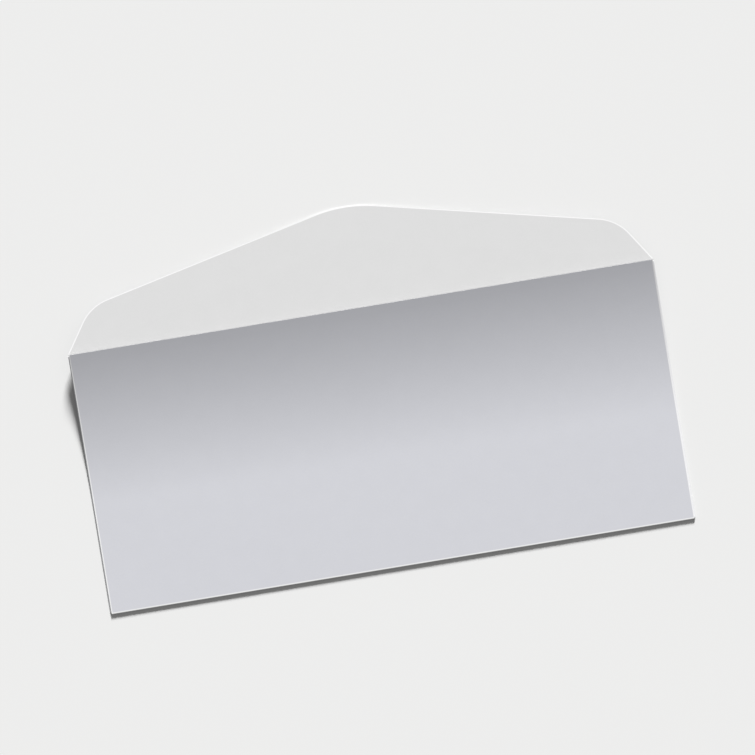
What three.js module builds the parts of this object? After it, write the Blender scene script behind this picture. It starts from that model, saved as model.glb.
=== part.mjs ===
// A long letter envelope, die-cut and folded from one sheet of paper, lying on its address face with
// its seal flap open. Millimetres, +Z up. X runs along the folds, +Y points to the flap's tip, and
// z = 0 is the table. The origin is under the middle of the whole outline.
//
// The sheet starts at the flap's tip, turns over the seal fold, runs down as the front panel against the
// table, turns up and over at the bottom fold and comes back as the back panel. A side flap is folded in
// from each end of the front panel and glued under the back panel, so the pocket is open only at the
// mouth, along the seal fold.
import * as THREE from "three";

// The sheet
const paperThickness = 0.15;

// The pocket, as seen from above
const bodyLength = 241.3; // over the two side folds
const bodyDepth = 107.2; // from the seal fold to the outside of the bottom fold

// The seal flap, as seen from above
const flapDepth = 41.4; // from the seal fold to the tip
const flapSideAngle = 56.6; // degrees between the seal fold and each short side
const flapShoulderRadius = 18.7;
const flapSlantAngle = 12.8; // degrees between the seal fold and each long side
const flapTipRadius = 56;

// The side flaps inside, measured along the front panel and in from its ends
const sideFlapWidth = 19;
const sideFlapTopInset = 0.6; // from the seal fold
const sideFlapBottomInset = 0.9; // from the outside of the bottom fold
const sideFlapEndWidth = 3; // at the very top and bottom
const sideFlapTaper = 4; // length over which each end widens to the full width

// The glue between each side flap and the back panel
const seamGlueThickness = 0.05;
const seamGlueOuterInset = 5; // from the end of the body
const seamGlueInnerInset = 16;

// The back panel
const backEndMargin = 0.35; // its cut ends stay this far inside the side folds
const throatDepth = 0.15; // its top edge stays this far short of the seal fold

// How the folded sheet stands on the table
const sealFoldRise = 5.3; // the underside of the seal fold above the table
const riseLength = 62; // how far down the body it takes to come back to the table
const restClearance = 0.25; // free space over the front panel where the body lies flat
const mouthClearance = 1.2; // the same at the mouth, where the folds have sprung open
const sealFoldRadius = 0.3; // to the middle of the sheet

// Fineness of the curves
const sealFoldSegments = 2;
const foldSegments = 6;
const riseSegments = 16;
const shoulderSegments = 9;
const tipSegments = 7;

const degrees = Math.PI / 180;
const halfPaper = paperThickness / 2;
const halfLength = bodyLength / 2;
const sealFoldY = (bodyDepth - flapDepth) / 2;
const acrossSheet = new THREE.Vector3(1, 0, 0);

// A station is one straight line across the body. Its d is the distance from the seal fold as seen from
// above. The share is 1 at the fold and 0 where the body lies flat.
const riseShare = (d) => Math.max(0, 1 - d / riseLength);
const riseAt = (d) => sealFoldRise * riseShare(d) ** 2;
const slopeAt = (d) => Math.atan((2 * sealFoldRise * riseShare(d)) / riseLength);
const clearanceAt = (d) => restClearance + (mouthClearance - restClearance) * riseShare(d) ** 2;

// Distances from the middle of the front panel, square to it, to the middle of the layers over it
const sideFlapPitch = (d) => clearanceAt(d) + paperThickness;
const backPanelPitch = (d) => sideFlapPitch(d) + paperThickness + seamGlueThickness;
const sideFoldRadius = (d) => sideFlapPitch(d) / 2;
const frontHalfWidth = (d) => halfLength - halfPaper - sideFoldRadius(d);
const backHalfWidth = halfLength - backEndMargin;
const bottomFoldRadius = backPanelPitch(bodyDepth) / 2;

// Where the runs of stations begin and end. The back panel leans over the front panel at the mouth.
const sealFoldSlope = slopeAt(0);
const frontPanelStart = sealFoldRadius * Math.sin(sealFoldSlope);
const frontPanelEnd = bodyDepth - halfPaper - bottomFoldRadius;
const backPanelStart = throatDepth - backPanelPitch(0) * Math.sin(sealFoldSlope);
const sideFlapTop = sideFlapTopInset;
const sideFlapBottom = bodyDepth - sideFlapBottomInset;
const seamGlueTop = sideFlapTop + sideFlapTaper;
const seamGlueBottom = sideFlapBottom - sideFlapTaper;
const closest = 0.01; // stations closer than this are one station
const samePlace = 1e-6; // points that differ by less than this are one point

const evenSteps = (from, to, count) =>
  Array.from({ length: count + 1 }, (_, i) => from + ((to - from) * i) / count);

function bodyDistances() {
  const marks = [sideFlapTop, seamGlueTop, seamGlueBottom, sideFlapBottom, frontPanelEnd];
  const curve = evenSteps(frontPanelStart, riseLength, riseSegments).filter((d) =>
    marks.every((mark) => Math.abs(d - mark) > closest),
  );
  return [...curve, ...marks]
    .filter((d) => d >= frontPanelStart && d <= frontPanelEnd)
    .sort((a, b) => a - b);
}

// The middle of the front panel at a station, and the direction of the pocket from there
function frontStation(d) {
  const slope = slopeAt(d);
  const point = new THREE.Vector3(0, sealFoldY - d, riseAt(d) + halfPaper);
  const inside = new THREE.Vector3(0, -Math.sin(slope), Math.cos(slope));
  return { d, point, inside, halfWidth: frontHalfWidth(d) };
}

// The same station on the back panel, which faces back down at the front panel
function backStation({ d, point, inside }) {
  return {
    d,
    point: point.clone().addScaledVector(inside, backPanelPitch(d)),
    inside: inside.clone().negate(),
    halfWidth: backHalfWidth,
  };
}

// A round fold at the given turn about an axis. The radius is negative where the inside faces the axis.
function foldStation(axis, radius, turn, halfWidth) {
  const inside = new THREE.Vector3(0, Math.sin(turn), Math.cos(turn));
  return { point: axis.clone().addScaledVector(inside, radius), inside, halfWidth };
}

// The seal fold turns over an axis below the fold line, from the front panel's slope to the flap's
const sealFoldStart = frontStation(frontPanelStart);
const sealFoldAxis = sealFoldStart.point.clone().addScaledVector(sealFoldStart.inside, -sealFoldRadius);

// The flap falls straight from the fold until the lower edge of its tip touches the table
function flapFallAngle() {
  const settlingSteps = 30;
  let fall = 0;
  for (let i = 0; i < settlingSteps; i++) {
    const drop = sealFoldAxis.z + (sealFoldRadius - halfPaper) * Math.cos(fall);
    fall = Math.atan(drop / (flapDepth - (sealFoldRadius + halfPaper) * Math.sin(fall)));
  }
  return fall;
}
const flapFall = flapFallAngle();

// Half of the flap's outline as [distance from the fold, half width], from the foot to the tip: a short
// side, a round shoulder, a long slant and a round tip
function flapOutline() {
  const side = flapSideAngle * degrees;
  const slant = flapSlantAngle * degrees;
  const tipCentre = flapDepth - flapTipRadius;
  const slantEnd = [tipCentre + flapTipRadius * Math.cos(slant), flapTipRadius * Math.sin(slant)];
  // The slant and the short side, as straight lines, would meet in this corner
  const slantAtEnd = slantEnd[0] - (halfLength - slantEnd[1]) * Math.tan(slant);
  const cornerInset = slantAtEnd / (Math.tan(side) - Math.tan(slant));
  const corner = [cornerInset * Math.tan(side), halfLength - cornerInset];
  const setback = flapShoulderRadius * Math.tan((side - slant) / 2);
  const shoulderCentre = [
    corner[0] - setback * Math.sin(side) - flapShoulderRadius * Math.cos(side),
    corner[1] + setback * Math.cos(side) - flapShoulderRadius * Math.sin(side),
  ];
  const arc = (centre, radius, from, to, count) =>
    evenSteps(from, to, count).map((turn) => [
      centre[0] + radius * Math.cos(turn),
      centre[1] + radius * Math.sin(turn),
    ]);
  return [
    [0, halfLength],
    ...arc(shoulderCentre, flapShoulderRadius, side, slant, shoulderSegments),
    ...arc([tipCentre, 0], flapTipRadius, slant, 0, tipSegments),
  ];
}

function flapStations() {
  const foot = foldStation(sealFoldAxis, sealFoldRadius, flapFall, halfLength);
  const down = new THREE.Vector3(0, Math.cos(flapFall), -Math.sin(flapFall));
  const footDistance = foot.point.y - sealFoldY + halfPaper * Math.sin(flapFall);
  return flapOutline().map(([distance, halfWidth]) => {
    const along = Math.max(0, distance - footDistance) / Math.cos(flapFall);
    return { point: foot.point.clone().addScaledVector(down, along), inside: foot.inside, halfWidth };
  });
}

// The whole run of the sheet, from the flap's tip to the back panel's edge at the mouth
function sheetStations(front) {
  const last = front[front.length - 1];
  const bottomAxis = last.point.clone().addScaledVector(last.inside, bottomFoldRadius);
  const bottomHalfWidth = Math.min(last.halfWidth, backHalfWidth);
  const sealFold = evenSteps(flapFall, -sealFoldSlope, sealFoldSegments)
    .slice(1, -1)
    .map((turn) => foldStation(sealFoldAxis, sealFoldRadius, turn, frontHalfWidth(0)));
  const bottomFold = evenSteps(0, Math.PI, foldSegments)
    .slice(1, -1)
    .map((turn) => foldStation(bottomAxis, -bottomFoldRadius, turn, bottomHalfWidth));
  const back = [frontStation(backPanelStart), ...front].map(backStation).reverse();
  return [...flapStations().reverse(), ...sealFold, ...front, ...bottomFold, ...back];
}

// One line of the sheet from side to side, with points at the edges of the glue
const seamGlueOuter = halfLength - seamGlueOuterInset;
const seamGlueInner = halfLength - seamGlueInnerInset;
function acrossRow({ point, inside, halfWidth }) {
  return [-halfLength, -seamGlueOuter, -seamGlueInner, seamGlueInner, seamGlueOuter, halfLength].map(
    (x) => {
      const reach = THREE.MathUtils.clamp(x, -halfWidth, halfWidth);
      return { point: point.clone().addScaledVector(acrossSheet, reach), inside };
    },
  );
}

// A side flap widens over the taper at both ends
function sideFlapWidthAt(d) {
  const fromEnd = Math.min(d - sideFlapTop, sideFlapBottom - d);
  const share = THREE.MathUtils.clamp(fromEnd / sideFlapTaper, 0, 1);
  return THREE.MathUtils.lerp(sideFlapEndWidth, sideFlapWidth, share);
}

// One line of a side flap: round the side fold from the end of the front panel, then straight back in
function sideFlapRow({ d, point, inside, halfWidth }, side) {
  const radius = sideFoldRadius(d);
  const outwards = acrossSheet.clone().multiplyScalar(side);
  const start = point.clone().addScaledVector(outwards, halfWidth);
  const fold = evenSteps(0, Math.PI, foldSegments).map((turn) => ({
    point: start
      .clone()
      .addScaledVector(outwards, radius * Math.sin(turn))
      .addScaledVector(inside, radius * (1 - Math.cos(turn))),
    inside: inside.clone().multiplyScalar(Math.cos(turn)).addScaledVector(outwards, -Math.sin(turn)),
  }));
  const foldEnd = fold[fold.length - 1];
  const innerEdge = halfWidth - sideFlapWidthAt(d);
  const straight = [seamGlueOuter, seamGlueInner, innerEdge].map((x) => ({
    point: foldEnd.point.clone().addScaledVector(outwards, Math.max(x, innerEdge) - halfWidth),
    inside: foldEnd.inside,
  }));
  return [...fold, ...straight];
}

// The middle surface of the sheet, with the direction of its inside face at each point
class MiddleSurface {
  points = [];
  insides = [];
  triangles = [];
  bonds = [];
  known = new Map();

  index({ point, inside }) {
    const key = point.toArray().map((v) => Math.round(v / samePlace)).join();
    if (!this.known.has(key)) {
      this.known.set(key, this.points.length);
      this.points.push(point);
      this.insides.push(inside);
    }
    return this.known.get(key);
  }

  // Lines of points with the same count. Unless turned, the inside is seen counter-clockwise.
  grid(lines, turned) {
    const index = lines.map((line) => line.map((corner) => this.index(corner)));
    for (let i = 0; i + 1 < index.length; i++)
      for (let j = 0; j + 1 < index[i].length; j++) {
        const [a, b, c, e] = [index[i][j], index[i][j + 1], index[i + 1][j + 1], index[i + 1][j]];
        this.triangle(turned ? [a, c, b] : [a, b, c]);
        this.triangle(turned ? [a, e, c] : [a, c, e]);
      }
  }

  triangle(corners) {
    if (new Set(corners).size === corners.length) this.triangles.push(corners);
  }

  // Glue between the inside face over one patch and the outside face over another of the same layout
  bond(insidePatch, outsidePatch) {
    const outsides = outsidePatch.map((corner) => this.index(corner));
    const partner = new Map(insidePatch.map((corner, i) => [this.index(corner), outsides[i]]));
    this.bonds.push({ partner, outsides: new Set(outsides) });
  }

  // A closed solid with half the thickness on each side of the middle surface
  thicken(thickness) {
    const count = this.points.length;
    const shifted = (distance) =>
      this.points.flatMap((p, i) => p.clone().addScaledVector(this.insides[i], distance).toArray());
    const faces = [];
    // Calls wall for each edge that only one of the triangles has
    const alongRim = (triangles, wall) => {
      const edges = triangles.flatMap(([a, b, c]) => [[a, b], [b, c], [c, a]]);
      const all = new Set(edges.map(String));
      for (const [p, q] of edges) if (!all.has(String([q, p]))) wall(p, q);
    };
    for (const corners of this.triangles) {
      const [a, b, c] = corners;
      if (!this.bonds.some(({ partner }) => corners.every((corner) => partner.has(corner))))
        faces.push(a, b, c);
      if (!this.bonds.some(({ outsides }) => corners.every((corner) => outsides.has(corner))))
        faces.push(a + count, c + count, b + count);
    }
    alongRim(this.triangles, (p, q) => faces.push(q, p, p + count, q, p + count, q + count));
    for (const { partner } of this.bonds) {
      const glued = this.triangles.filter((corners) => corners.every((corner) => partner.has(corner)));
      alongRim(glued, (p, q) => {
        const [r, s] = [partner.get(q) + count, partner.get(p) + count];
        faces.push(p, q, r, p, r, s);
      });
    }
    const positions = new Float32Array([...shifted(thickness / 2), ...shifted(-thickness / 2)]);
    const geometry = new THREE.BufferGeometry();
    geometry.setAttribute("position", new THREE.BufferAttribute(positions, 3));
    geometry.setIndex(faces);
    geometry.computeVertexNormals();
    return geometry;
  }
}

function foldedSheet() {
  const front = bodyDistances().map(frontStation);
  const surface = new MiddleSurface();
  surface.grid(sheetStations(front).map(acrossRow), true);
  const flap = front.filter(({ d }) => d >= sideFlapTop && d <= sideFlapBottom);
  const glued = front.filter(({ d }) => d >= seamGlueTop && d <= seamGlueBottom);
  const atGlue = (side) => ({ point }) =>
    point.x * side > seamGlueInner - closest && point.x * side < seamGlueOuter + closest;
  const byLength = (a, b) => a.point.x - b.point.x;
  for (const side of [-1, 1]) {
    surface.grid(flap.map((station) => sideFlapRow(station, side)), side > 0);
    const onBack = glued.flatMap((station) => acrossRow(backStation(station)).filter(atGlue(side)));
    const onFlap = glued.flatMap((station) =>
      sideFlapRow(station, side).filter(atGlue(side)).sort(byLength),
    );
    surface.bond(onBack, onFlap);
  }
  return surface.thicken(paperThickness);
}

const paper = new THREE.MeshStandardMaterial({ color: 0xd2d3d8, roughness: 0.85, metalness: 0 });
const envelope = new THREE.Mesh(foldedSheet(), paper);
envelope.name = "envelope";

const model = new THREE.Group();
model.add(envelope);

export default model;
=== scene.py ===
"""The look of the open letter envelope: one folded paper sheet on a pale floor, seen from straight above.

Lengths are metres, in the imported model's frame: X along the folds, +Y towards the flap's tip, +Z up.
"""

import math

import bmesh
import bpy
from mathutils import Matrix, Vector


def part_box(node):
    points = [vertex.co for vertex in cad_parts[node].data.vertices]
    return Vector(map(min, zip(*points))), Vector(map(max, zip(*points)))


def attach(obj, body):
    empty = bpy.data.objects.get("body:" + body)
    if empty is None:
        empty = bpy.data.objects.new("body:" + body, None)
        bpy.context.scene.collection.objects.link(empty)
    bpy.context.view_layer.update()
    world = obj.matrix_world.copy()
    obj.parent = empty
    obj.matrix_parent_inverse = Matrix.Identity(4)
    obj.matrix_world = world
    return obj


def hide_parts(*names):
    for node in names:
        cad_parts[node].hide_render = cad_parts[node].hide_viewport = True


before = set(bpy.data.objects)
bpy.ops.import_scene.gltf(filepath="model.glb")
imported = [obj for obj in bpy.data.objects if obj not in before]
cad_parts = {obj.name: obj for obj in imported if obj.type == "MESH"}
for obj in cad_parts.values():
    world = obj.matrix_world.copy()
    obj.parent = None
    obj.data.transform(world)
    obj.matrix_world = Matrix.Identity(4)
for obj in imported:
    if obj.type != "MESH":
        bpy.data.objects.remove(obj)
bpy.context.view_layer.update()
sheet_low, sheet_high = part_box("envelope")

MM = 0.001

# The sheet and its pocket, lying flat
PAPER = 0.15 * MM
HALF_LENGTH = (sheet_high.x - sheet_low.x) / 2
FLAP_DEPTH = 41.4 * MM
BODY_DEPTH = sheet_high.y - sheet_low.y - FLAP_DEPTH
FOLD_Y = sheet_high.y - FLAP_DEPTH
REST_CLEARANCE = 0.25 * MM  # free space over the front panel
GLUE = 0.05 * MM
SIDE_PITCH = REST_CLEARANCE + PAPER  # front panel to side flap, middle to middle
BACK_PITCH = SIDE_PITCH + PAPER + GLUE
BACK_END_MARGIN = 0.35 * MM  # the back panel's cut ends stay this far inside the side folds
THROAT = 0.15 * MM  # its top edge stays this far short of the seal fold

# The seal flap's outline
FLAP_SIDE_ANGLE = math.radians(56.6)
FLAP_SLANT_ANGLE = math.radians(12.8)
FLAP_SHOULDER_RADIUS = 18.7 * MM
FLAP_TIP_RADIUS = 56 * MM

# The side flaps inside
SIDE_FLAP_WIDTH = 19 * MM
SIDE_FLAP_TOP = 0.6 * MM
SIDE_FLAP_BOTTOM = BODY_DEPTH - 0.9 * MM
SIDE_FLAP_END_WIDTH = 3 * MM
SIDE_FLAP_TAPER = 4 * MM

# The folds, to the middle of the sheet, and what they leave of the panels
SIDE_FOLD_RADIUS = SIDE_PITCH / 2
BOTTOM_FOLD_RADIUS = BACK_PITCH / 2
FRONT_HALF_WIDTH = HALF_LENGTH - PAPER / 2 - SIDE_FOLD_RADIUS
FRONT_END = BODY_DEPTH - PAPER / 2 - BOTTOM_FOLD_RADIUS
BACK_HALF_WIDTH = HALF_LENGTH - BACK_END_MARGIN

# The white band along each cut and fold: partly whitened fibres, partly a painted highlight that keeps
# these rims bright where they lie in shade
WHITE_EDGE = 0.3 * MM
WHITE_FADE = 0.2 * MM  # from there to clean paper
EDGE_INSETS = (0, WHITE_EDGE, WHITE_EDGE + WHITE_FADE)
# How much whitening and painted highlight the seal fold and the side folds get
CREASE_WHITENESS_AND_HIGHLIGHT = 0.2  # of the seal fold, which is only scored and bent back
SIDE_FOLD_WHITENESS_AND_HIGHLIGHT = 0.5

# How the folded sheet lies
RISE = 5.3 * MM
RISE_LENGTH = 62 * MM
MOUTH_OPENING = 0.95 * MM  # on top of the clearance at rest
BELLY = 0.1 * MM  # further still in the middle of the mouth
RIPPLE = 0.1 * MM
RIPPLES_PER_METRE = 14
FOLD_SOFTNESS = 0.1 * MM

# Fineness of the mesh
COLUMNS = 56
BODY_ROWS = 52
FOLD_STEPS = 10
OUTLINE_STEPS = {"side": 8, "shoulder": 16, "slant": 26, "tip": 10}
SAME_PLACE = 0.001 * MM  # corners closer than this are one corner
SHARP_TURN = math.radians(50)  # faces that turn more than this meet in a sharp edge

# The paper's grain
CLOUDS_PER_METRE = 150
CLOUD_CONTRAST = 0.03
FIBRES_PER_METRE = 1500
FIBRE_CONTRAST = 0.06
WHITENING_AND_HIGHLIGHT_CONTRAST = 0.6
TOOTH_DEPTH = 0.012 * MM
TOOTH_STRENGTH = 0.5
PAPER_ROUGHNESS = 0.92
ROUGHNESS_CONTRAST = 0.16
PAPER_SPECULAR = 0.02
EDGE_FIBRES_PER_METRE = 5000
EDGE_CONTRAST = 0.14
EDGE_ROUGHNESS = 0.95
EDGE_SPECULAR = 0.05

# The dried gum along the flap's long edges
GUM_WIDTH = 13 * MM
GUM_TO_EDGE = 2 * MM
GUM_TO_FOLD = 5 * MM
GUM_TO_ENDS = 7 * MM
GUM_FADE = 0.4 * MM
GUM_COAT = 0.2
GUM_ROUGHNESS = 0.4

# Colours, linear
OUTSIDE_COLOUR = (0.647, 0.653, 0.693)
INSIDE_COLOUR = (0.579, 0.579, 0.579)
# The white of the cut edges, also mixed into the faces as the painted highlight along cuts and folds
EDGE_AND_HIGHLIGHT_COLOUR = (0.9, 0.9, 0.9)
FLOOR_COLOUR = (0.85, 0.85, 0.845)
FLOOR_BOUNCE = (0.3, 0.3, 0.3)  # what the floor throws back on the sheet

# The camera, over the photograph's middle
FRAME_WIDTH = 307.5 * MM
FRAME_CENTRE = Vector((2.1 * MM, 3.5 * MM, 0))
CAMERA_ROLL = math.radians(-9.33)
CAMERA_LENS = 400  # millimetres, as Blender wants it
SENSOR_WIDTH = 36

# The light and the floor
SUN_AZIMUTH = math.radians(77)
SUN_ELEVATION = math.radians(20)
SUN_SOFTNESS = math.radians(12)
SUN_SHARE = 0.8  # of the light on a level face, the sky giving the rest
FLOOR_HALF_WIDTH = 20


class Tree:
    """A node tree. One method adds any node, and numbers in it can be worked with as Python expressions."""

    def __init__(self, tree):
        self.tree = tree

    def add(self, kind, settings=None, sockets=None):
        node = self.tree.nodes.new(kind)
        for name, setting in (settings or {}).items():
            setattr(node, name, setting)
        for name, value in (sockets or {}).items():
            self.fill(self.socket(node, name), value)
        return node

    def socket(self, node, name):
        if isinstance(name, int):
            return node.inputs[name]
        return next(s for s in node.inputs if name in (s.identifier, s.name) and s.enabled)

    def fill(self, socket, value):
        for one in value if isinstance(value, list) else [value]:
            if isinstance(one, Value):
                self.tree.links.new(one.socket, socket)
            elif isinstance(one, bpy.types.NodeSocket):
                self.tree.links.new(one, socket)
            else:
                socket.default_value = one

    def value(self, kind, settings=None, sockets=None, output=0):
        return Value(self, self.add(kind, settings, sockets).outputs[output])


class Value:
    """A number's socket. Arithmetic on it adds Math nodes to its tree."""

    def __init__(self, tree, socket):
        self.tree = tree
        self.socket = socket

    def math(self, operation, *others):
        sockets = dict(enumerate([self, *others]))
        return self.tree.value("ShaderNodeMath", {"operation": operation}, sockets)

    def reflected(self, operation, other):
        return self.tree.value("ShaderNodeMath", {"operation": operation}, {0: other, 1: self})

    def __add__(self, other):
        return self.math("ADD", other)

    def __radd__(self, other):
        return self.reflected("ADD", other)

    def __sub__(self, other):
        return self.math("SUBTRACT", other)

    def __rsub__(self, other):
        return self.reflected("SUBTRACT", other)

    def __mul__(self, other):
        return self.math("MULTIPLY", other)

    def __rmul__(self, other):
        return self.reflected("MULTIPLY", other)

    def __truediv__(self, other):
        return self.math("DIVIDE", other)

    def __rtruediv__(self, other):
        return self.reflected("DIVIDE", other)

    def __pow__(self, other):
        return self.math("POWER", other)

    def __abs__(self):
        return self.math("ABSOLUTE")

    def at_least(self, other):
        return self.math("MAXIMUM", other)

    def at_most(self, other):
        return self.math("MINIMUM", other)


def even_steps(start, end, count):
    return [start + (end - start) * i / count for i in range(count + 1)]


# The blank, folded and pressed flat. A corner is (x, y, z, whiteness), and z is the layer's height; the
# whiteness is fibre whitening together with painted highlight.


def flap_outline(inset):
    """The right half of the flap's edge, moved in by inset, from its foot at the fold to its tip.

    A point is (x, distance from the fold).
    """
    side, slant = FLAP_SIDE_ANGLE, FLAP_SLANT_ANGLE
    tip_centre = Vector((0, FLAP_DEPTH - FLAP_TIP_RADIUS))
    slant_end = tip_centre + FLAP_TIP_RADIUS * Vector((math.sin(slant), math.cos(slant)))
    # The slant and the short side, as straight lines, would meet in this corner
    slant_over_end = slant_end.y - (HALF_LENGTH - slant_end.x) * math.tan(slant)
    corner_inset = slant_over_end / (math.tan(side) - math.tan(slant))
    corner = Vector((HALF_LENGTH - corner_inset, corner_inset * math.tan(side)))
    setback = FLAP_SHOULDER_RADIUS * math.tan((side - slant) / 2)
    shoulder_centre = corner + setback * Vector((math.cos(side), -math.sin(side)))
    shoulder_centre -= FLAP_SHOULDER_RADIUS * Vector((math.sin(side), math.cos(side)))

    def arc(centre, radius, start, end, steps):
        turns = even_steps(start, end, steps)
        return [centre + radius * Vector((math.sin(turn), math.cos(turn))) for turn in turns]

    shoulder = arc(shoulder_centre, FLAP_SHOULDER_RADIUS - inset, side, slant, OUTLINE_STEPS["shoulder"])
    tip = arc(tip_centre, FLAP_TIP_RADIUS - inset, slant, 0, OUTLINE_STEPS["tip"])
    foot = Vector((HALF_LENGTH - inset / math.sin(side), 0))
    short_side = [foot.lerp(shoulder[0], t) for t in even_steps(0, 1, OUTLINE_STEPS["side"])]
    long_side = [shoulder[-1].lerp(tip[0], t) for t in even_steps(0, 1, OUTLINE_STEPS["slant"])]
    return short_side[:-1] + shoulder[:-1] + long_side[:-1] + tip


def row_between(edge, height, whiteness_and_highlight=0.0):
    """A line of corners from side to side, with edge as its right end.

    The edge is the cut, where the white ends and where clean paper begins, each as (x, y).
    """
    cut, white, clean = edge
    middle = [(x, clean[1], height, whiteness_and_highlight) for x in even_steps(-clean[0], clean[0], COLUMNS)]
    right = [(white[0], white[1], height, 1.0), (cut[0], cut[1], height, 1.0)]
    left = [(-x, y, z, w) for x, y, z, w in reversed(right)]
    return [*left, *middle, *right]


def straight_row(half_width, y, height, whiteness_and_highlight):
    edge = [(half_width - inset, y) for inset in EDGE_INSETS]
    return row_between(edge, height, whiteness_and_highlight)


def flap_rows():
    """From the tip to the fold."""
    outlines = [flap_outline(inset) for inset in EDGE_INSETS]
    fold = Vector((0, FOLD_Y))
    return [row_between([fold + corner for corner in edge], 0) for edge in zip(*outlines)][::-1]


def rows_over_seal_fold():
    """The last lines of the flap, down to the fold itself, with the crease a little whitened and given a
    faint painted highlight.
    """
    rows = []
    for above in (WHITE_EDGE + WHITE_FADE, WHITE_EDGE, WHITE_EDGE / 2, 0):
        half_width = HALF_LENGTH - above / math.tan(FLAP_SIDE_ANGLE)
        whiteness_and_highlight = CREASE_WHITENESS_AND_HIGHLIGHT if above <= WHITE_EDGE else 0.0
        rows.append(straight_row(half_width, FOLD_Y + above, 0, whiteness_and_highlight))
    return rows


def front_half_width(distance):
    """The flap's foot is as wide as the body; below it the panel ends where the side folds begin."""
    share = min(distance / SIDE_FLAP_TOP, 1)
    return HALF_LENGTH + (FRONT_HALF_WIDTH - HALF_LENGTH) * share


def body_distances():
    """Where the body's lines lie, as distances from the seal fold."""
    near_bottom = [FRONT_END - WHITE_EDGE - WHITE_FADE, FRONT_END - WHITE_EDGE, FRONT_END]
    marks = [WHITE_EDGE / 2, WHITE_EDGE, SIDE_FLAP_TOP, SIDE_FLAP_TOP + SIDE_FLAP_TAPER]
    marks += [SIDE_FLAP_BOTTOM - SIDE_FLAP_TAPER, SIDE_FLAP_BOTTOM, *near_bottom]
    spacing = BODY_DEPTH / BODY_ROWS
    even = [spacing * (i + 0.5) for i in range(BODY_ROWS)]
    apart = spacing / 4
    between = [d for d in even if d < FRONT_END and all(abs(d - mark) > apart for mark in marks)]
    return sorted(between + marks)


def body_row(half_width, distance, height):
    """A line across a panel, white where it is about to turn into the bottom fold: whitened fibres and a
    painted highlight on a fold that lies in shade.
    """
    at_fold = distance >= FRONT_END - WHITE_EDGE
    return straight_row(half_width, FOLD_Y - distance, height, 1.0 if at_fold else 0.0)


def sheet_rows():
    """From the flap's tip over the seal fold, down the front panel, round the bottom and up the back."""
    distances = body_distances()
    front = [body_row(front_half_width(d), d, 0) for d in distances]
    bottom = []
    for turn in even_steps(0, math.pi, FOLD_STEPS)[1:-1]:
        distance = FRONT_END + BOTTOM_FOLD_RADIUS * math.sin(turn)
        height = BOTTOM_FOLD_RADIUS * (1 - math.cos(turn))
        bottom.append(body_row(BACK_HALF_WIDTH, distance, height))
    # The back panel leans over the front panel at the mouth, which brings its edge to the throat
    mouth_lean = (BACK_PITCH + MOUTH_OPENING + BELLY) * 2 * RISE / RISE_LENGTH
    mouth = THROAT - mouth_lean
    back = [body_row(BACK_HALF_WIDTH, d, BACK_PITCH) for d in [*reversed(distances), mouth]]
    return [*flap_rows()[:-1], *rows_over_seal_fold(), *front, *bottom, *back]


def side_flap_width(distance):
    """A side flap widens over the taper at both ends."""
    from_end = min(distance - SIDE_FLAP_TOP, SIDE_FLAP_BOTTOM - distance)
    share = min(max(from_end / SIDE_FLAP_TAPER, 0), 1)
    return SIDE_FLAP_END_WIDTH + (SIDE_FLAP_WIDTH - SIDE_FLAP_END_WIDTH) * share


def side_flap_rows(side):
    """Round the side fold from the end of the front panel, then straight back in."""
    rows = []
    for d in body_distances():
        if not SIDE_FLAP_TOP <= d <= SIDE_FLAP_BOTTOM:
            continue
        y = FOLD_Y - d
        row = []
        for turn in even_steps(0, math.pi, FOLD_STEPS):
            x = FRONT_HALF_WIDTH + SIDE_FOLD_RADIUS * math.sin(turn)
            row.append((side * x, y, SIDE_FOLD_RADIUS * (1 - math.cos(turn)), SIDE_FOLD_WHITENESS_AND_HIGHLIGHT))
        width = side_flap_width(d)
        for inward in (WHITE_EDGE, width / 2, width):
            row.append((side * (FRONT_HALF_WIDTH - inward), y, SIDE_PITCH, 0.0))
        rows.append(row)
    return rows


def grid_faces(bm, whiteness_and_highlight, rows, turned):
    """Faces between rows of corners with the same count, their normals towards the sheet's inside."""
    lines = []
    for row in rows:
        line = []
        for x, y, z, white in row:
            vertex = bm.verts.new((x, y, z))
            vertex[whiteness_and_highlight] = white
            line.append(vertex)
        lines.append(line)
    for upper, lower in zip(lines, lines[1:]):
        for j in range(len(upper) - 1):
            corners = [upper[j], upper[j + 1], lower[j + 1], lower[j]]
            bm.faces.new(corners[::-1] if turned else corners)


def flat_blank():
    bm = bmesh.new()
    whiteness_and_highlight = bm.verts.layers.float.new("whiteness_and_highlight")
    grid_faces(bm, whiteness_and_highlight, sheet_rows(), turned=True)
    for side in (-1, 1):
        grid_faces(bm, whiteness_and_highlight, side_flap_rows(side), turned=side > 0)
    bmesh.ops.remove_doubles(bm, verts=bm.verts, dist=SAME_PLACE)
    bmesh.ops.dissolve_degenerate(bm, edges=bm.edges, dist=SAME_PLACE)
    mesh = bpy.data.meshes.new("folded_blank")
    bm.to_mesh(mesh)
    bm.free()
    return mesh


# How the sheet lies and how thick it is


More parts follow.
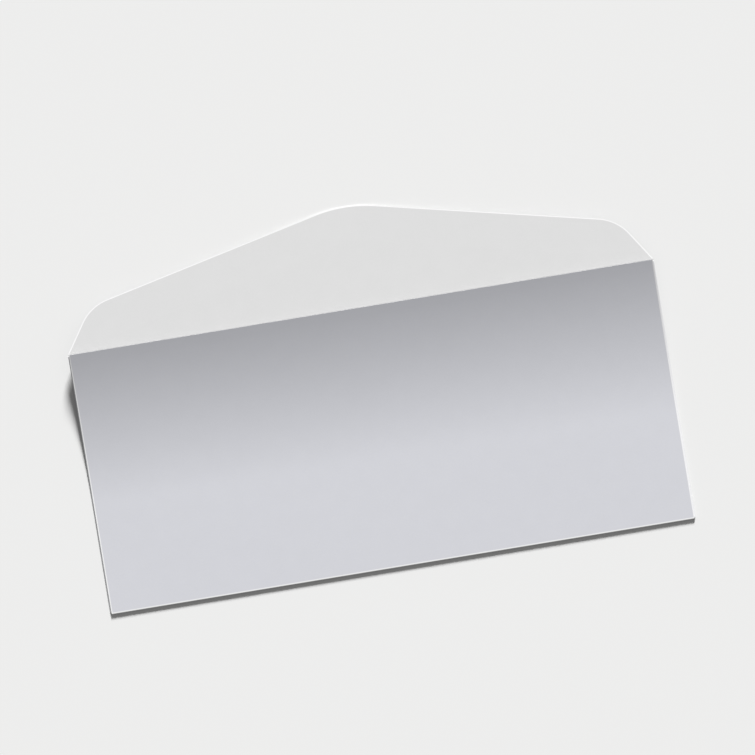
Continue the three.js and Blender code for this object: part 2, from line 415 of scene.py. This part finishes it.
def place_at_rest(tree, size):
    """Where each corner of the flat blank comes to lie."""
    position = tree.add("GeometryNodeInputPosition").outputs[0]
    split = tree.add("ShaderNodeSeparateXYZ", sockets={0: position})
    x, y, height = [Value(tree, output) for output in split.outputs]
    distance = size["Seal fold"] - y
    share = (1 - distance / size["Rise length"]).at_least(0)
    level = size["Rise"] * share * share
    flap_level = size["Rise"] + distance * size["Flap fall"]
    ridge = level.math("SMOOTH_MIN", flap_level, size["Fold softness"])

    # The layers over the front panel part towards the mouth, and the back panel swells between its ends
    over = (height / size["Layer height"]).at_most(1)
    down = (distance / size["Body depth"]).at_least(0).at_most(1)
    across = abs(x) / size["Half length"]
    swell = size["Belly"] * (1 - across**2) * (1 - down)
    lift = height + (size["Mouth opening"] * share * share + swell) * over
    middle = ridge + (level - ridge) * over
    slope = 2 * size["Rise"] / size["Rise length"] * share
    lean = 1 / (1 + slope * slope) ** 0.5
    ripples = tree.value(
        "ShaderNodeTexNoise",
        {"noise_dimensions": "2D"},
        {"Vector": position, "Scale": RIPPLES_PER_METRE, "Detail": 1.0, "Roughness": 0.4},
    )
    settled = middle + lift * lean + size["Paper"] / 2 + size["Ripple"] * ripples
    return tree.add("ShaderNodeCombineXYZ", sockets={0: x, 1: y - lift * slope * lean, 2: settled})


def thickened(tree, middle_surface, thickness):
    """A closed sheet around the surface, and the extrusion that says which faces are which."""
    normal = tree.add("GeometryNodeInputNormal").outputs[0]
    outwards = tree.add(
        "ShaderNodeVectorMath", {"operation": "SCALE"}, {0: normal, "Scale": thickness * -0.5}
    )
    outer_face = tree.add(
        "GeometryNodeSetPosition", sockets={"Geometry": middle_surface, "Offset": outwards.outputs[0]}
    )
    thick = tree.add(
        "GeometryNodeExtrudeMesh",
        {"mode": "FACES"},
        {"Mesh": outer_face.outputs[0], "Offset Scale": thickness, "Individual": False},
    )
    turned = tree.add("GeometryNodeFlipFaces", sockets={"Mesh": outer_face.outputs[0]})
    both = tree.add(
        "GeometryNodeJoinGeometry", sockets={"Geometry": [thick.outputs["Mesh"], turned.outputs[0]]}
    )
    closed = tree.add(
        "GeometryNodeMergeByDistance", sockets={"Geometry": both.outputs[0], "Distance": SAME_PLACE}
    )
    return closed.outputs[0], thick


def lie_of_the_sheet(outside, inside, edge):
    """Bends the flat blank to the way it lies, gives it its thickness and sets the paper on each face."""
    group = bpy.data.node_groups.new("lie_of_the_sheet", "GeometryNodeTree")
    tree = Tree(group)
    group.interface.new_socket("Blank", in_out="INPUT", socket_type="NodeSocketGeometry")
    sizes = {
        "Seal fold": FOLD_Y,
        "Body depth": BODY_DEPTH,
        "Half length": HALF_LENGTH,
        "Rise": RISE,
        "Rise length": RISE_LENGTH,
        "Flap fall": RISE / FLAP_DEPTH,
        "Fold softness": FOLD_SOFTNESS,
        "Layer height": SIDE_PITCH,
        "Mouth opening": MOUTH_OPENING,
        "Belly": BELLY,
        "Ripple": RIPPLE,
        "Paper": PAPER,
    }
    for name in sizes:
        group.interface.new_socket(name, in_out="INPUT", socket_type="NodeSocketFloat")
    group.interface.new_socket("Sheet", in_out="OUTPUT", socket_type="NodeSocketGeometry")
    given = tree.add("NodeGroupInput")
    size = {name: Value(tree, given.outputs[name]) for name in sizes}

    sockets = {"Geometry": given.outputs["Blank"], "Position": place_at_rest(tree, size).outputs[0]}
    laid = tree.add("GeometryNodeSetPosition", sockets=sockets)
    closed, thick = thickened(tree, laid.outputs[0], size["Paper"])
    painted = tree.add("GeometryNodeRealizeInstances", sockets={"Geometry": closed})
    papers = [(outside, True), (inside, thick.outputs["Top"]), (edge, thick.outputs["Side"])]
    for material, faces in papers:
        sockets = {"Geometry": painted.outputs[0], "Selection": faces, "Material": material}
        painted = tree.add("GeometryNodeSetMaterial", sockets=sockets)
    tree.add("NodeGroupOutput", sockets={"Sheet": painted.outputs[0]})
    return group, sizes


def folded_sheet(outside, inside, edge):
    blank = bpy.data.objects.new("folded_blank", flat_blank())
    bpy.context.scene.collection.objects.link(blank)
    group, sizes = lie_of_the_sheet(outside, inside, edge)
    modifier = blank.modifiers.new("lie", "NODES")
    modifier.node_group = group
    identifiers = {item.name: item.identifier for item in group.interface.items_tree}
    for name, size in sizes.items():
        modifier[identifiers[name]] = size
    evaluated = blank.evaluated_get(bpy.context.evaluated_depsgraph_get())
    mesh = bpy.data.meshes.new_from_object(evaluated)
    mesh.name = "paper_sheet"
    mesh.shade_smooth()
    mesh.set_sharp_from_angle(angle=SHARP_TURN)
    bpy.data.objects.remove(blank)
    sheet = bpy.data.objects.new("paper_sheet", mesh)
    bpy.context.scene.collection.objects.link(sheet)
    return sheet


# What the sheet and the floor are made of


def new_material(name):
    material = bpy.data.materials.new(name)
    material.use_nodes = True
    material.node_tree.nodes.clear()
    return material, Tree(material.node_tree)


def noise(tree, position, per_metre, detail, roughness=0.5):
    sockets = {"Vector": position, "Scale": per_metre, "Detail": detail, "Roughness": roughness}
    return tree.value("ShaderNodeTexNoise", sockets=sockets)


def shaded(tree, colour, shade):
    """The colour times a shade near 1."""
    scaled = tree.add("ShaderNodeVectorMath", {"operation": "SCALE"}, {0: colour, "Scale": shade})
    return scaled.outputs[0]


def mixed_colour(tree, factor, first, second):
    sockets = {"Factor_Float": factor, "A_Color": first, "B_Color": second}
    mix = tree.add("ShaderNodeMix", {"data_type": "RGBA"}, sockets)
    return next(output for output in mix.outputs if output.identifier == "Result_Color")


def finished(material, tree, shader_kind, sockets):
    shader = tree.add(shader_kind, sockets=sockets)
    tree.add("ShaderNodeOutputMaterial", sockets={"Surface": shader.outputs[0]})
    return material


def gum_band(tree, position):
    """1 on the strip of dried gum along the flap's long edges, 0 elsewhere."""
    split = tree.add("ShaderNodeSeparateXYZ", sockets={0: position})
    x, y = [Value(tree, output) for output in split.outputs[:2]]
    sine, cosine = math.sin(FLAP_SLANT_ANGLE), math.cos(FLAP_SLANT_ANGLE)
    tip_centre = FOLD_Y + FLAP_DEPTH - FLAP_TIP_RADIUS
    reach = tip_centre * cosine + FLAP_TIP_RADIUS
    from_edge = reach - abs(x) * sine - y * cosine

    def faded_in(inside_by):
        return (inside_by / GUM_FADE).at_least(0).at_most(1)

    begins = faded_in(from_edge - GUM_TO_EDGE)
    ends = faded_in(GUM_TO_EDGE + GUM_WIDTH - from_edge)
    clear_of_ends = faded_in(HALF_LENGTH - GUM_TO_ENDS - abs(x))
    clear_of_fold = faded_in(y - (FOLD_Y + GUM_TO_FOLD))
    return begins * ends * clear_of_ends * clear_of_fold


def paper(name, colour, whitening_and_highlight, gummed):
    """Uncoated wove paper: a faint cloudy formation, fine felted fibres, and whitened folds and cuts that
    also carry a painted highlight.
    """
    material, tree = new_material(name)
    position = tree.add("ShaderNodeTexCoord").outputs["Object"]
    clouds = noise(tree, position, CLOUDS_PER_METRE, detail=3.0)
    fibres = noise(tree, position, FIBRES_PER_METRE, detail=4.0, roughness=0.7)
    shade = 1 + (clouds - 0.5) * CLOUD_CONTRAST + (fibres - 0.5) * FIBRE_CONTRAST
    whiteness_and_highlight = tree.value("ShaderNodeAttribute", {"attribute_name": "whiteness_and_highlight"}, output="Fac")
    # Whitened fibres and painted highlight along cuts and folds, mixed towards the edge colour
    whitened_and_highlit = (whiteness_and_highlight * whitening_and_highlight * (1 + (fibres - 0.5) * WHITENING_AND_HIGHLIGHT_CONTRAST)).at_most(1)
    tooth = {"Strength": TOOTH_STRENGTH, "Distance": TOOTH_DEPTH, "Height": fibres + clouds}
    sockets = {
        "Base Color": mixed_colour(tree, whitened_and_highlit, shaded(tree, colour, shade), (*EDGE_AND_HIGHLIGHT_COLOUR, 1)),
        "Roughness": PAPER_ROUGHNESS + (fibres - 0.5) * ROUGHNESS_CONTRAST,
        "Normal": tree.add("ShaderNodeBump", sockets=tooth).outputs[0],
        "Specular IOR Level": PAPER_SPECULAR,
    }
    if gummed:
        sockets["Coat Weight"] = gum_band(tree, position) * GUM_COAT
        sockets["Coat Roughness"] = GUM_ROUGHNESS
    return finished(material, tree, "ShaderNodeBsdfPrincipled", sockets)


def cut_edge():
    """The torn fibres of a die-cut edge, rougher and whiter than the faces."""
    material, tree = new_material("paper_cut_edge")
    position = tree.add("ShaderNodeTexCoord").outputs["Object"]
    fibres = noise(tree, position, EDGE_FIBRES_PER_METRE, detail=3.0, roughness=0.6)
    sockets = {
        "Base Color": shaded(tree, EDGE_AND_HIGHLIGHT_COLOUR, 1 + (fibres - 0.5) * EDGE_CONTRAST),
        "Roughness": EDGE_ROUGHNESS,
        "Specular IOR Level": EDGE_SPECULAR,
    }
    return finished(material, tree, "ShaderNodeBsdfPrincipled", sockets)


def looked_at(tree):
    """1 for what the camera sees, directly or in a reflection, 0 for bounced light."""
    path = tree.add("ShaderNodeLightPath")
    rays = [Value(tree, path.outputs[f"Is {kind} Ray"]) for kind in ("Camera", "Glossy", "Transmission")]
    return (rays[0] + rays[1] + rays[2]).at_most(1)


def floor_material():
    """Pale to look at, but it throws little light back, so no bright rim surrounds the raised paper."""
    material, tree = new_material("pale_floor")
    colour = mixed_colour(tree, looked_at(tree), (*FLOOR_BOUNCE, 1), (*FLOOR_COLOUR, 1))
    return finished(material, tree, "ShaderNodeBsdfDiffuse", {"Color": colour})


# The studio


def add_camera():
    data = bpy.data.cameras.new("camera")
    data.lens = CAMERA_LENS
    data.sensor_width = SENSOR_WIDTH
    camera = bpy.data.objects.new("camera", data)
    bpy.context.scene.collection.objects.link(camera)
    above = FRAME_WIDTH * CAMERA_LENS / SENSOR_WIDTH
    camera.location = FRAME_CENTRE + Vector((0, 0, above))
    camera.rotation_euler = (0, 0, CAMERA_ROLL)
    data.clip_end = 10 * above
    bpy.context.scene.camera = camera


def add_sun():
    data = bpy.data.lights.new("key", "SUN")
    data.energy = SUN_SHARE * math.pi / math.sin(SUN_ELEVATION)
    data.angle = SUN_SOFTNESS
    sun = bpy.data.objects.new("key", data)
    bpy.context.scene.collection.objects.link(sun)
    level = math.cos(SUN_ELEVATION)
    towards = Vector((
        level * math.cos(SUN_AZIMUTH),
        level * math.sin(SUN_AZIMUTH),
        math.sin(SUN_ELEVATION),
    ))
    sun.rotation_mode = "QUATERNION"
    sun.rotation_quaternion = towards.to_track_quat("Z", "Y")


def add_sky():
    """An even sky, and a backdrop of the floor's colour where the camera or a reflection looks past it."""
    world = bpy.data.worlds.new("studio")
    world.use_nodes = True
    world.node_tree.nodes.clear()
    bpy.context.scene.world = world
    tree = Tree(world.node_tree)
    sky_share = 1 - SUN_SHARE
    sky_colour = (sky_share, sky_share, sky_share, 1)
    colour = mixed_colour(tree, looked_at(tree), sky_colour, (*FLOOR_COLOUR, 1))
    sky = tree.add("ShaderNodeBackground", sockets={"Color": colour, "Strength": 1.0})
    tree.add("ShaderNodeOutputWorld", sockets={"Surface": sky.outputs[0]})


def add_floor():
    bm = bmesh.new()
    bmesh.ops.create_grid(bm, x_segments=1, y_segments=1, size=FLOOR_HALF_WIDTH)
    mesh = bpy.data.meshes.new("floor")
    bm.to_mesh(mesh)
    bm.free()
    mesh.materials.append(floor_material())
    floor = bpy.data.objects.new("floor", mesh)
    bpy.context.scene.collection.objects.link(floor)


bpy.context.scene.view_settings.view_transform = "Standard"
add_camera()
add_sun()
add_sky()
add_floor()

sheet = folded_sheet(
    paper("paper_outside", OUTSIDE_COLOUR, whitening_and_highlight=1.0, gummed=False),
    paper("paper_inside", INSIDE_COLOUR, whitening_and_highlight=0.6, gummed=True),
    cut_edge(),
)
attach(sheet, "root")
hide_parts("envelope")
